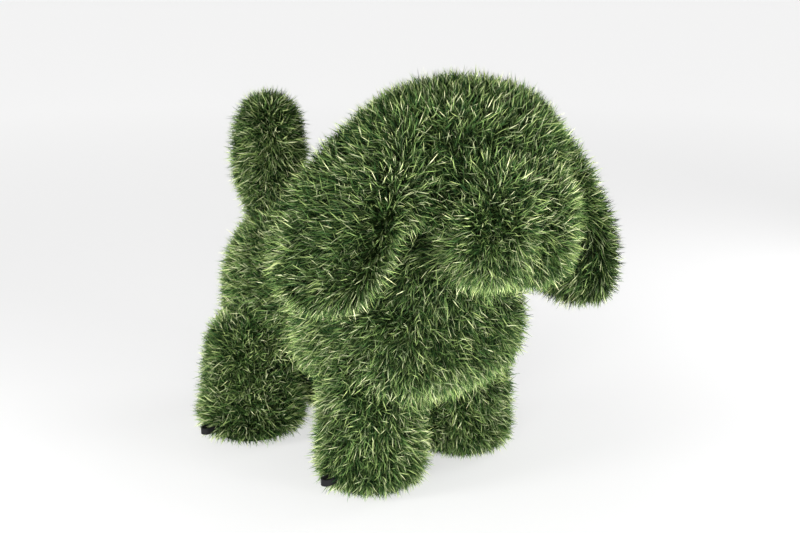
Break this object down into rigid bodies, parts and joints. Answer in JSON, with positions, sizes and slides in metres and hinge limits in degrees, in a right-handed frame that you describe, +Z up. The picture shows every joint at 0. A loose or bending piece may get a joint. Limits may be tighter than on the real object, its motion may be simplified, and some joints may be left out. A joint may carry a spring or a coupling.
{
  "type": "dog garden statue",
  "caption": "Stocky cartoon puppy garden statue covered in artificial turf, head cocked, floppy ears, upright tail, black peg loops at the feet.",
  "frame": {"origin": "on the ground under the middle of the statue's box", "axes": "the statue faces -Y, its left side is +X, +Z is up"},
  "size_m": [0.568, 0.6538, 0.6153],
  "materials": {
    "turf": "green artificial turf yarn, dark at the roots and yellower at the tips",
    "black_steel": "matt black painted strip"
  },
  "bodies": {
    "root": {"turf_dog": "turf", "peg_loop_front_right": "black_steel", "peg_loop_front_left": "black_steel", "peg_loop_hind_right": "black_steel", "peg_loop_hind_left": "black_steel"}
  },
  "joints": []
}
